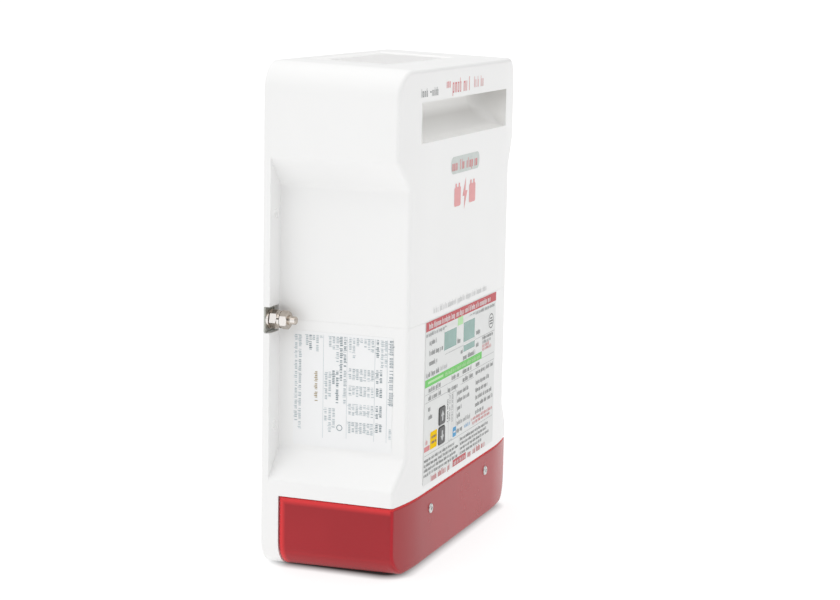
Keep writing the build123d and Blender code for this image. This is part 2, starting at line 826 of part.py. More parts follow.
with BuildPart() as output_capacitors:
    with BuildSketch(facing(board_face)):
        with Locations(*[(32 + 15 * m, 94 + 15 * n) for m in range(2) for n in range(3)]):
            Circle(6.2)
    extrude(amount=26)
    tops = output_capacitors.edges().filter_by(GeomType.CIRCLE).group_by(Axis.Y)[0]
    fillet(tops, 0.8)

with BuildPart() as fuse_holder:
    with BuildSketch(facing(board_face)):
        with Locations((20, 74)):
            Rectangle(34, 11)
    extrude(amount=4)
    with BuildSketch(facing(board_face - 4)):
        with Locations((7, 74), (33, 74)):
            Rectangle(5, 8)
    extrude(amount=8)
    with BuildSketch(Plane.YZ.offset(0)):
        with Locations((board_face - 9, 74)):
            Circle(3.25)
    extrude(amount=50, mode=Mode.SUBTRACT)

with BuildPart() as fuse:
    with BuildSketch(Plane.YZ.offset(4)):
        with Locations((board_face - 9, 74)):
            Circle(3.15)
    extrude(amount=32)

with BuildPart() as fan_leads:
    for side in (-1, 1):
        with BuildLine() as run:
            Polyline(
                (side * 26, fan_y + 16, fan_z[0] - 1.4),
                (side * 24, fan_y + 16, 273),
                (side * 24, fan_y + 16, 266),
                (side * 24, board_face - 0.6, 266),
            )
        with BuildSketch(Plane(origin=run.line @ 0, z_dir=run.line % 0)):
            Circle(1.1)
        sweep(path=run.line, transition=Transition.ROUND)

# ---------------------------------------------------------------- wiring bay
with BuildPart() as dc_terminal_base:
    with BuildSketch(facing(cover_y + bay_gap)):
        with Locations((-34.5, dc_z)):
            Rectangle(104, 18)
        with Locations(*[(x, dc_z) for x in dc_x]):
            Circle(3.1, mode=Mode.SUBTRACT)
    extrude(amount=cover_y + bay_gap - 20)
    with BuildSketch(facing(20.5)):
        with Locations(*[(-85.5 + 25.5 * n, dc_z) for n in range(5)]):
            Rectangle(2.0, 18)
    extrude(amount=12.5)

with BuildPart() as dc_studs:
    with BuildSketch(facing(42)):
        with Locations(*[(x, dc_z) for x in dc_x]):
            Circle(5)
    extrude(amount=2.0)
    with BuildSketch(facing(41)):
        with Locations(*[(x, dc_z) for x in dc_x]):
            Circle(3.0)
    extrude(amount=38)

with BuildPart() as dc_straps:
    with BuildSketch(facing(40)):
        with Locations(*[(x, 39) for x in dc_x]):
            Rectangle(11, 58)
        with Locations(*[(x, dc_z) for x in dc_x]):
            Circle(3.1, mode=Mode.SUBTRACT)
    extrude(amount=1.4)
    with BuildSketch(facing(39)):
        with Locations(*[(x, 64) for x in dc_x]):
            Rectangle(11, 8)
    extrude(amount=39 - board_y)

with BuildPart() as dc_washers:
    with BuildSketch(facing(20)):
        with Locations(*[(x, dc_z) for x in dc_x]):
            Circle(6.2)
    extrude(amount=1.6)
    with BuildSketch(facing(21)):
        with Locations(*[(x, dc_z) for x in dc_x]):
            Circle(3.2)
    extrude(amount=4, mode=Mode.SUBTRACT)

with BuildPart() as dc_nuts:
    for x in dc_x:
        add(hex_nut(x, 18.4, dc_z, -30))

with BuildPart() as ac_terminal_block:
    with BuildSketch(facing(cover_y + bay_gap)):
        with Locations((ac_x, sum(ac_z) / 2)):
            Rectangle(28, ac_z[1] - ac_z[0])
    extrude(amount=cover_y + bay_gap - 14)
    with BuildSketch(facing(20)):
        with Locations(*[(ac_x + 9 * n, 29.5) for n in (-1, 0, 1)]):
            Circle(2.9)
    extrude(amount=8, mode=Mode.SUBTRACT)
    with BuildSketch(Plane.XY.offset(ac_z[0] - 1)):
        with Locations(*[(ac_x + 9 * n, 24) for n in (-1, 0, 1)]):
            Circle(2.4)
    extrude(amount=11, mode=Mode.SUBTRACT)

with BuildPart() as ac_terminal_screws:
    with BuildSketch(facing(19.8)):
        with Locations(*[(ac_x + 9 * n, 29.5) for n in (-1, 0, 1)]):
            Circle(2.7)
    extrude(amount=4)
    with BuildSketch(facing(15.8)):
        with Locations(*[(ac_x + 9 * n, 29.5) for n in (-1, 0, 1)]):
            Rectangle(5.6, 0.8, rotation=30)
    extrude(amount=-1, mode=Mode.SUBTRACT)

with BuildPart() as ac_leads:
    with BuildSketch(facing(41.2)):
        with Locations(*[(ac_x + 7 * n, 46) for n in (-1, 0, 1)]):
            Rectangle(2.8, 36)
    extrude(amount=2.4)
    with BuildSketch(facing(40)):
        with Locations(*[(ac_x + 7 * n, 62) for n in (-1, 0, 1)]):
            Rectangle(2.8, 4)
    extrude(amount=40 - board_y)
    with BuildSketch(facing(40)):
        with Locations(*[(ac_x + 7 * n, 30) for n in (-1, 0, 1)]):
            Rectangle(2.8, 4)
    extrude(amount=40 - cover_y - bay_gap)

with BuildPart() as cord_clamp:
    with BuildSketch(facing(17)):
        with Locations((ac_x, sum(clamp_z) / 2)):
            RectangleRounded(26, clamp_z[1] - clamp_z[0], 1.5)
        with Locations((ac_x - 9.8, sum(clamp_z) / 2), (ac_x + 9.8, sum(clamp_z) / 2)):
            Circle(1.8, mode=Mode.SUBTRACT)
    extrude(amount=3.5)

with BuildPart() as cord_clamp_screws:
    with BuildSketch(facing(13.5)):
        with Locations((ac_x - 9.8, sum(clamp_z) / 2), (ac_x + 9.8, sum(clamp_z) / 2)):
            Circle(3.0)
    extrude(amount=2)
    with BuildSketch(facing(27.45)):
        with Locations((ac_x - 9.8, sum(clamp_z) / 2), (ac_x + 9.8, sum(clamp_z) / 2)):
            Circle(1.6)
    extrude(amount=14.2)

nodes = {
    "upper_housing": upper_housing,
    "lower_housing": lower_housing,
    "back_plate": back_plate,
    "back_plate_screws": back_plate_screws,
    "terminal_cover": terminal_cover,
    "cover_screws": cover_screws,
    "label_panel": label_panel,
    "display_windows": display_windows,
    "key_up": key_up,
    "key_down": key_down,
    "side_label": side_label,
    "earth_stud": earth_stud,
    "earth_washer": earth_washer,
    "earth_spring_washer": earth_spring_washer,
    "earth_nuts": earth_nuts,
    "top_grille": top_grille,
    "fan_frame_left": fan_frame_left,
    "fan_frame_right": fan_frame_right,
    "fan_rotor_left": fan_rotor_left,
    "fan_rotor_right": fan_rotor_right,
    "fan_screws": fan_screws,
    "fan_leads": fan_leads,
    "control_board": control_board,
    "control_board_screws": control_board_screws,
    "display_modules": display_modules,
    "key_switches": key_switches,
    "status_leds": status_leds,
    "ribbon_cable": ribbon_cable,
    "main_board": main_board,
    "board_standoffs": board_standoffs,
    "board_screws": board_screws,
    "heatsink_left": heatsink_left,
    "heatsink_right": heatsink_right,
    "power_transistors": power_transistors,
    "transformer_core": transformer_core,
    "transformer_winding": transformer_winding,
    "choke_core": choke_core,
    "choke_winding": choke_winding,
    "input_capacitors": input_capacitors,
    "output_capacitors": output_capacitors,
    "fuse_holder": fuse_holder,
    "fuse": fuse,
    "dc_terminal_base": dc_terminal_base,
    "dc_studs": dc_studs,
    "dc_straps": dc_straps,
    "dc_washers": dc_washers,
    "dc_nuts": dc_nuts,
    "ac_terminal_block": ac_terminal_block,
    "ac_terminal_screws": ac_terminal_screws,
    "ac_leads": ac_leads,
    "cord_clamp": cord_clamp,
    "cord_clamp_screws": cord_clamp_screws,
}
for label, node in nodes.items():
    node.part.label = label
    export_step(node.part, f"parts/{label}.step")
    solids = node.part.solids()
    print(label, len(solids), round(node.part.volume, 1), node.part.is_valid)
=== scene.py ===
import json
import math
import random

import bpy
from mathutils import Matrix, Vector


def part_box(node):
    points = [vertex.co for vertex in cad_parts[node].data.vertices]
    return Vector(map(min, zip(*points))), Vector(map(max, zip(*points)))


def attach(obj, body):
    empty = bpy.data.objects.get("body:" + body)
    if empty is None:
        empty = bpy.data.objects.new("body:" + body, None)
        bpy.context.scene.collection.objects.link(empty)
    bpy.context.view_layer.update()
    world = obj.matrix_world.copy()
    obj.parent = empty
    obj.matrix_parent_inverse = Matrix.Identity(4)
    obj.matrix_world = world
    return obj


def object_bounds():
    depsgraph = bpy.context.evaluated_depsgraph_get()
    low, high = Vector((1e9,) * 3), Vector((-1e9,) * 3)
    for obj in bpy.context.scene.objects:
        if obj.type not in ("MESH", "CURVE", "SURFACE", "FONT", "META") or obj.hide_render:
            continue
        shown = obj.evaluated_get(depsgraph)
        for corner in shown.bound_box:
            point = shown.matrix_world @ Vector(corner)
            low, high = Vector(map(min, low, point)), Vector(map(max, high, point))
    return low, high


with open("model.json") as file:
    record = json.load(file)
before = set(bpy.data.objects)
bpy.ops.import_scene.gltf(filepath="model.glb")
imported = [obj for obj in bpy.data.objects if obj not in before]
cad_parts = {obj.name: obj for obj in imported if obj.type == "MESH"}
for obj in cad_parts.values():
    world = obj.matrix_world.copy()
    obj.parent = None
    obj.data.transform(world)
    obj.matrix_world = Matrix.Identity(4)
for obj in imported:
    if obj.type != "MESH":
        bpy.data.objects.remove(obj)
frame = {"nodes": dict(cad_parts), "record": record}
cad_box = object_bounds()
nodes = frame["nodes"]
scene = bpy.context.scene
MM = 0.001


def in_mm(node):
    """A node's lowest and highest corners, in millimetres."""
    low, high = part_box(node)
    return [v / MM for v in low], [v / MM for v in high]


# ---------------------------------------------------------------- driving places, in millimetres
label_face = in_mm("label_panel")[0][1]
side_x = in_mm("side_label")[0][0]
cover_back, cover_top = in_mm("terminal_cover")[1][1:]
film_recess = 0.42
shell_face = label_face + film_recess
flat_half, crown_radius = 68.0, 190.0


def crown_depth(u):
    """Depth of the case's front at u: flat in the middle, curving back beyond it."""
    past = max(0.0, abs(u) - flat_half)
    return shell_face + crown_radius - math.sqrt(crown_radius**2 - past**2)


# ---------------------------------------------------------------- camera


def look(azimuth, elevation, roll, distance, target, lens):
    """Stand the camera off from a target, with its angles in degrees and its lens in millimetres."""
    turn, tilt, lean = (math.radians(v) for v in (azimuth, elevation, roll))
    back = Vector((math.sin(turn) * math.cos(tilt), -math.cos(turn) * math.cos(tilt), math.sin(tilt)))
    right = (-back).cross(Vector((0, 0, 1))).normalized()
    up = right.cross(-back)
    across = math.cos(lean) * right + math.sin(lean) * up
    above = -math.sin(lean) * right + math.cos(lean) * up
    place = target + back * distance
    data = bpy.data.cameras.new("camera")
    data.sensor_width = 36.0
    data.lens = lens
    data.clip_start = 0.05
    data.clip_end = 50.0
    camera = bpy.data.objects.new("camera", data)
    scene.collection.objects.link(camera)
    camera.matrix_world = Matrix(
        [(across[i], above[i], back[i], place[i]) for i in range(3)] + [(0, 0, 0, 1)]
    )
    scene.camera = camera


look(-69.71, 9.434, 1.131, 1.374717, Vector((0.043788, 0.001, 0.147364)), 88.597714)

# ---------------------------------------------------------------- node trees


class Tree:
    """Short spellings for building a node tree."""

    def __init__(self, owner):
        owner.use_nodes = True
        self.tree = owner.node_tree
        self.nodes = owner.node_tree.nodes
        self.coords = None

    def add(self, kind, **values):
        node = self.nodes.new(kind)
        for key, value in values.items():
            setattr(node, key, value)
        return node

    def link(self, source, socket):
        self.tree.links.new(source, socket)

    def put(self, socket, value):
        """Link a socket to another one, or set it to a number or colour."""
        if isinstance(value, bpy.types.NodeSocket):
            self.link(value, socket)
        else:
            socket.default_value = value

    def math(self, operation, a, b=0.0, c=0.0):
        node = self.add("ShaderNodeMath", operation=operation)
        for socket, value in zip(node.inputs, (a, b, c)):
            self.put(socket, value)
        return node.outputs[0]

    def axes(self, vector):
        """The x, y and z of a vector."""
        node = self.add("ShaderNodeSeparateXYZ")
        self.link(vector, node.inputs[0])
        return tuple(node.outputs)

    def point(self, stretch=(1, 1, 1)):
        """The place on the object, stretched along each axis."""
        if self.coords is None:
            self.coords = self.add("ShaderNodeTexCoord").outputs["Object"]
        if tuple(stretch) == (1, 1, 1):
            return self.coords
        node = self.add("ShaderNodeMapping")
        node.inputs["Scale"].default_value = stretch
        self.link(self.coords, node.inputs["Vector"])
        return node.outputs[0]

    def noise(self, scale, detail, rough, stretch):
        node = self.add("ShaderNodeTexNoise")
        self.link(self.point(stretch), node.inputs["Vector"])
        node.inputs["Scale"].default_value = scale
        node.inputs["Detail"].default_value = detail
        node.inputs["Roughness"].default_value = rough
        return node.outputs["Fac"]

    def ramp(self, value, low, high, out_low=0.0, out_high=1.0):
        """A straight change from out_low to out_high as the value goes from low to high."""
        node = self.add("ShaderNodeMapRange")
        self.put(node.inputs["Value"], value)
        for name, number in zip(
            ("From Min", "From Max", "To Min", "To Max"), (low, high, out_low, out_high)
        ):
            node.inputs[name].default_value = number
        return node.outputs[0]

    def mix(self, factor, first, second):
        """A blend of two colours, each a socket or a plain red, green and blue."""
        node = self.add("ShaderNodeMix", data_type="RGBA")
        self.put(node.inputs["Factor"], factor)
        for name, value in (("A", first), ("B", second)):
            socket = [s for s in node.inputs if s.name == name and s.type == "RGBA"][0]
            self.put(socket, (*value, 1) if isinstance(value, tuple) else value)
        return [s for s in node.outputs if s.type == "RGBA"][0]


# ---------------------------------------------------------------- studio light
scene.view_settings.view_transform = "Standard"
scene.view_settings.look = "None"
world = bpy.data.worlds.new("studio")
scene.world = world
tree = Tree(world)
direction = tree.add("ShaderNodeTexCoord").outputs["Generated"]


def lobe(toward, narrowness):
    """Brightness that falls off softly all round a direction."""
    length = math.sqrt(sum(v * v for v in toward))
    dot = tree.add("ShaderNodeVectorMath", operation="DOT_PRODUCT")
    tree.link(direction, dot.inputs[0])
    dot.inputs[1].default_value = [v / length for v in toward]
    half = tree.math("MULTIPLY_ADD", dot.outputs["Value"], 0.5, 0.5)
    return tree.math("POWER", tree.math("MAXIMUM", half, 0.0), narrowness)


# a dim room with bright screens, and dark ones where the strength is negative
room_light, darkest = 0.210, 0.04
screens = (
    ((-0.808, 0.549, 0.213), 6.2, 1.035),  # behind, on the near side
    ((-0.992, -0.078, 0.099), 10.8, -0.73),  # straight out from the near side
    ((-0.5, -0.866, 0.0), 6.0, 0.355),  # in front
    ((0, 0, 1), 4.2, 1.30),  # overhead
    ((0.88, 0.45, 0.22), 14.0, 0.62),  # on the far side
    ((0.45, 0.89, 0.0), 9.0, -0.62),  # behind, so that the back isn't too bright
    ((-0.707, -0.707, -0.1), 14.0, -0.20),  # off the near front corner
)

light = room_light
for toward, narrowness, strength in screens:
    light = tree.math("MULTIPLY_ADD", lobe(toward, narrowness), strength, light)
light = tree.math("MAXIMUM", light, darkest)
# behind the object the studio is plain white
light = tree.math("MAXIMUM", light, tree.add("ShaderNodeLightPath").outputs["Is Camera Ray"])
tree.nodes["Background"].inputs["Color"].default_value = (1, 1, 1, 1)
tree.link(light, tree.nodes["Background"].inputs["Strength"])

# ---------------------------------------------------------------- floor, in metres
floor_half = 60
glow, glow_in_painted_shadow = 0.81, 0.012
# size and softness of the painted contact shadow in the floor's glow
shade_insets, shade_shifts = (0.0235, 0.0170), (0.0, 0.001)
shade_start, shade_end = 0.009, 0.021

floor_mesh = bpy.data.meshes.new("floor")
floor_mesh.from_pydata(
    [(x * floor_half, y * floor_half, 0) for x, y in ((-1, -1), (1, -1), (1, 1), (-1, 1))],
    [],
    [(0, 1, 2, 3)],
)
floor = bpy.data.objects.new("floor", floor_mesh)
scene.collection.objects.link(floor)
table = bpy.data.materials.new("light_table")
tree = Tree(table)
shader = tree.nodes["Principled BSDF"]
shader.inputs["Base Color"].default_value = (0.25, 0.25, 0.25, 1)
shader.inputs["Roughness"].default_value = 0.7
shader.inputs["Specular IOR Level"].default_value = 0.1
shader.inputs["Emission Color"].default_value = (1, 1, 1, 1)
# the table glows evenly, except for a painted contact shadow: its glow is dimmed right under and against the
# object standing on it
spot = tree.axes(tree.point())
past = []
for axis, (inset, shift) in enumerate(zip(shade_insets, shade_shifts)):
    low, high = cad_box[0][axis], cad_box[1][axis]
    from_middle = tree.math("ABSOLUTE", tree.math("SUBTRACT", spot[axis], (low + high) / 2 + shift))
    past.append(tree.math("MAXIMUM", tree.math("SUBTRACT", from_middle, (high - low) / 2 - inset), 0.0))
squares = [tree.math("MULTIPLY", over, over) for over in past]
away = tree.math("SQRT", tree.math("ADD", *squares))
tree.link(tree.ramp(away, shade_start, shade_end, glow_in_painted_shadow, glow), shader.inputs["Emission Strength"])
floor_mesh.materials.append(table)

# ---------------------------------------------------------------- painted light and shade, by place and by facing
# painted highlight on the red cover's rounded rims, and painted shade on its upright corners
rim_highlight_red, corner_shade_red, corner_shade_strength = (0.74, 0.040, 0.045), (0.50, 0.012, 0.024), 0.9
# painted shade in the air scoop: a darker white along the crease at the foot of its back wall and on its far
# wall
scoop_shade_white, foot_shade_strength, foot_shade_far_end = (0.73, 0.72, 0.70), 0.80, 0.15
# painted highlight on plated flats that face the near side
zinc_highlight = (0.80, 0.765, 0.735)
# how far from the cover's top and rear edges its painted rim highlights start, and where each is full
highlight_start, top_highlight_full, back_highlight_full = 4.7, 1.7, 2.2
# heights and places across where the painted shade in the scoop begins and ends
foot_low, foot_full, foot_fading, foot_high = 264.0, 273.0, 273.5, 278.5
foot_end_start, foot_end = 69.0, 79.0
far_start, far_full, far_low, far_high = 66.0, 79.0, 269.0, 283.0


def red_rim_highlight_corner_shade(tree, colour):
    """Painted highlight and shade: the cover's rounded rims that don't face down and its top and rear edges
    are painted a lighter red, and its upright rounded corners a deeper red.
    """
    facing = tree.axes(tree.add("ShaderNodeTexCoord").outputs["Normal"])
    x, y, z = (tree.math("ABSOLUTE", value) for value in facing)
    straight = tree.math("MAXIMUM", tree.math("MAXIMUM", x, y), z)
    rounded = tree.ramp(straight, 0.96, 0.86)
    place = tree.axes(tree.point())
    near_top = tree.ramp(place[2], (cover_top - highlight_start) * MM, (cover_top - top_highlight_full) * MM)
    near_back = tree.ramp(place[1], (cover_back - highlight_start) * MM, (cover_back - back_highlight_full) * MM)
    rim = tree.math("MAXIMUM", tree.math("MULTIPLY", near_top, tree.ramp(x, 0.5, 0.9)), near_back)
    upward = tree.ramp(facing[2], -0.45, -0.1)
    corner = tree.math("MULTIPLY", rounded, tree.ramp(z, 0.35, 0.15))
    lip = tree.math("MAXIMUM", tree.math("MULTIPLY", rounded, upward), rim)
    # painted highlight: lighter red on rounded rims that don't face down and along the top and rear edges
    colour = tree.mix(tree.math("SUBTRACT", lip, corner), colour, rim_highlight_red)
    # painted shade: deeper red on the upright rounded corners
    return tree.mix(tree.math("MULTIPLY", corner, corner_shade_strength), colour, corner_shade_red)


def painted_scoop_shade(tree, colour):
    """Painted shade: the air scoop is painted darker along the foot of its back wall and on its far side."""
    x, _, z = tree.axes(tree.point())
    fading = tree.ramp(z, foot_high * MM, foot_fading * MM)
    rising = tree.ramp(z, foot_low * MM, foot_full * MM, 0, foot_shade_strength)
    along = tree.ramp(x, foot_end * MM, foot_end_start * MM, foot_shade_far_end, 1)
    foot = tree.math("MULTIPLY", tree.math("MULTIPLY", fading, rising), along)
    across = tree.ramp(x, far_start * MM, far_full * MM)
    far = tree.math("MULTIPLY", across, tree.ramp(z, far_low * MM, far_high * MM))
    return tree.mix(tree.math("MAXIMUM", foot, far), colour, scoop_shade_white)


def painted_flat_highlight(tree, colour):
    """Painted highlight: plated flats that face straight out to the near side are painted brighter."""
    facing_x = tree.axes(tree.add("ShaderNodeTexCoord").outputs["Normal"])[0]
    return tree.mix(tree.ramp(facing_x, -0.90, -0.97), colour, zinc_highlight)


# ---------------------------------------------------------------- materials
looks = {}
grain_height, coat_roughness = 0.05 * MM, 0.08


def finish(
    name,
    base,
    rough,
    vary,
    scale,
    rough_vary,
    grain,
    grain_scale,
    metal=0.0,
    coat=0.0,
    stretch=(1, 1, 1),
    tint=None,
    specular=0.5,
    shade=None,
):
    """A surface with mottled colour, uneven gloss and fine grain, kept in looks under its name.

    The colour varies from base to tint, or round base when there is no tint. shade is a function
    that paints light and shade into the colour by place or by facing.
    """
    material = bpy.data.materials.new(name)
    tree = Tree(material)
    shader = tree.nodes["Principled BSDF"]
    low = tuple(max(0.0, c * (1 - vary)) for c in base)
    high = tuple(min(1.0, c * (1 + vary)) for c in (tint or base))
    mottle = tree.noise(scale, 4.0, 0.55, stretch)
    colour = tree.mix(tree.ramp(mottle, 0.3, 0.7), low, high)
    if shade:
        colour = shade(tree, colour)
    tree.link(colour, shader.inputs["Base Color"])
    patches = tree.noise(scale * 3.1, 3.0, 0.6, stretch)
    gloss = tree.ramp(patches, 0.25, 0.75, rough - rough_vary, rough + rough_vary)
    tree.link(gloss, shader.inputs["Roughness"])
    relief = tree.add("ShaderNodeBump")
    relief.inputs["Strength"].default_value = grain
    relief.inputs["Distance"].default_value = grain_height
    tree.link(tree.noise(grain_scale, 2.0, 0.5, stretch), relief.inputs["Height"])
    tree.link(relief.outputs[0], shader.inputs["Normal"])
    shader.inputs["Metallic"].default_value = metal
    shader.inputs["Specular IOR Level"].default_value = specular
    if coat:
        shader.inputs["Coat Weight"].default_value = coat
        shader.inputs["Coat Roughness"].default_value = coat_roughness
    looks[name] = material


# each line gives colour, roughness, mottling and its scale, uneven gloss, grain and its scale
# the case and what is seen on it
finish("white_shell", (0.935, 0.935, 0.93), 0.36, 0.008, 14, 0.05, 0.08, 700, coat=0.1)
# the scoop's lining: a lighter white than the shell's, with painted shade along the crease and on the far
# wall
finish("scoop_white_painted_shade", (0.985, 0.98, 0.965), 0.40, 0.008, 14, 0.05, 0.08, 700, shade=painted_scoop_shade)
finish("white_grille", (0.96, 0.955, 0.95), 0.42, 0.012, 20, 0.05, 0.10, 900)
finish(
    "passivated_plate", (0.44, 0.45, 0.42), 0.36, 0.05, 110, 0.08, 0.12, 1500,
    metal=0.9, stretch=(0.4, 1, 5), tint=(0.50, 0.51, 0.47)
)
finish("zinc_screw", (0.62, 0.62, 0.61), 0.28, 0.08, 300, 0.08, 0.15, 3000, metal=1.0)
# the red cover, with painted rim highlights and painted shade on its upright corners
finish("red_cover", (0.39, 0.022, 0.029), 0.25, 0.09, 9, 0.04, 0.02, 260, specular=0.26, shade=red_rim_highlight_corner_shade)
finish("front_film", (0.81, 0.82, 0.81), 0.42, 0.012, 60, 0.05, 0.10, 1600)
finish(
    "teal_window", (0.16, 0.34, 0.295), 0.18, 0.05, 90, 0.04, 0.04, 700,
    coat=0.2, tint=(0.20, 0.38, 0.335)
)
finish("grey_key", (0.055, 0.055, 0.055), 0.38, 0.15, 200, 0.08, 0.3, 2500)
finish("label_film", (0.925, 0.93, 0.935), 0.45, 0.008, 60, 0.05, 0.08, 1600)
# zinc hardware, with a painted highlight on flats facing the near side
finish(
    "zinc_hardware", (0.50, 0.44, 0.385), 0.14, 0.05, 160, 0.05, 0.04, 1800,
    metal=1.0, tint=(0.60, 0.54, 0.48), shade=painted_flat_highlight
)
# inside the case and the wiring bay
finish("black_plastic", (0.022, 0.022, 0.024), 0.5, 0.2, 90, 0.1, 0.3, 1800)
finish("black_insulation", (0.02, 0.02, 0.022), 0.55, 0.2, 120, 0.1, 0.2, 2200)
finish("green_board", (0.012, 0.12, 0.05), 0.34, 0.18, 140, 0.08, 0.2, 2200, coat=0.3)
finish("display_body", (0.06, 0.08, 0.08), 0.35, 0.1, 80, 0.06, 0.1, 1500)
finish("led_resin", (0.25, 0.55, 0.25), 0.2, 0.1, 200, 0.05, 0.05, 2000, coat=0.4)
finish("ribbon_grey", (0.38, 0.38, 0.40), 0.5, 0.1, 300, 0.08, 0.4, 500, stretch=(3, 0.1, 0.1))
finish("brass_standoff", (0.68, 0.50, 0.22), 0.3, 0.1, 200, 0.08, 0.15, 2400, metal=1.0)
finish("sink_aluminium", (0.66, 0.67, 0.69), 0.36, 0.06, 60, 0.08, 0.3, 1200, metal=1.0, stretch=(4, 4, 0.2))
finish("ferrite", (0.05, 0.05, 0.055), 0.6, 0.2, 200, 0.1, 0.5, 1500)
finish("copper_winding", (0.50, 0.19, 0.08), 0.3, 0.12, 150, 0.08, 0.6, 900, metal=0.8)
finish("capacitor_sleeve", (0.02, 0.03, 0.11), 0.28, 0.1, 80, 0.06, 0.1, 900, coat=0.3)
finish("fuse_glass", (0.80, 0.83, 0.80), 0.12, 0.03, 90, 0.04, 0.02, 900, coat=0.6)
finish("brass_terminal", (0.72, 0.55, 0.26), 0.26, 0.10, 220, 0.08, 0.15, 2400, metal=1.0)
finish("copper_strap", (0.66, 0.31, 0.18), 0.32, 0.12, 120, 0.1, 0.2, 1800, metal=1.0)
finish("terminal_plastic", (0.68, 0.67, 0.63), 0.5, 0.04, 70, 0.08, 0.2, 1600)
finish("lead_insulation", (0.20, 0.09, 0.04), 0.5, 0.15, 120, 0.08, 0.2, 2000)
for part in frame["record"]["subparts"]:
    mesh = nodes[part["node"]].data
    mesh.materials.clear()
    mesh.materials.append(looks[part["material_slot"]])

ink_order = []


def add_ink(name, base, rough, vary, scale, grain=0.05, grain_scale=2500, specular=0.5):
    """A thin, smooth printing ink."""
    finish("ink_" + name, base, rough, vary, scale, 0.05, grain, grain_scale, specular=specular)
    ink_order.append(name)


add_ink("dark", (0.15, 0.155, 0.155), 0.45, 0.15, 400)
add_ink("grey", (0.34, 0.35, 0.35), 0.45, 0.10, 400)
add_ink("pale", (0.56, 0.57, 0.57), 0.45, 0.06, 400)
add_ink("film", (0.81, 0.82, 0.81), 0.42, 0.012, 60, 0.10, 1600)
add_ink("faint", (0.66, 0.665, 0.665), 0.45, 0.04, 400)
add_ink("white", (0.86, 0.82, 0.82), 0.45, 0.04, 400)
add_ink("red", (0.55, 0.045, 0.06), 0.42, 0.06, 300)
add_ink("soft_red", (0.72, 0.22, 0.23), 0.42, 0.06, 300)
add_ink("faint_red", (0.80, 0.52, 0.52), 0.42, 0.04, 300)
add_ink("green", (0.13, 0.62, 0.10), 0.42, 0.08, 250)
add_ink("light_green", (0.48, 0.80, 0.40), 0.42, 0.06, 250)
add_ink("yellow", (0.98, 0.62, 0.002), 0.6, 0.05, 250, specular=0.05)
add_ink("brown", (0.26, 0.15, 0.04), 0.45, 0.15, 300)
add_ink("blue", (0.02, 0.31, 0.62), 0.42, 0.06, 250)
add_ink("light_blue", (0.28, 0.52, 0.76), 0.42, 0.06, 250)
add_ink("slate", (0.28, 0.345, 0.375), 0.45, 0.12, 350)
add_ink("pale_slate", (0.55, 0.615, 0.64), 0.45, 0.08, 350)
add_ink("rose", (0.82, 0.36, 0.365), 0.42, 0.05, 250)
add_ink("ochre", (0.47, 0.39, 0.25), 0.45, 0.12, 300)
add_ink("badge", (0.62, 0.665, 0.64), 0.40, 0.05, 200)

# ---------------------------------------------------------------- new pieces


def new_piece(name, points, faces, materials):
    """A new mesh object; its points are in metres."""
    mesh = bpy.data.meshes.new(name)
    mesh.from_pydata(points, [], faces)
    for material in materials:
        mesh.materials.append(material)
    piece = bpy.data.objects.new(name, mesh)
    scene.collection.objects.link(piece)
    return piece


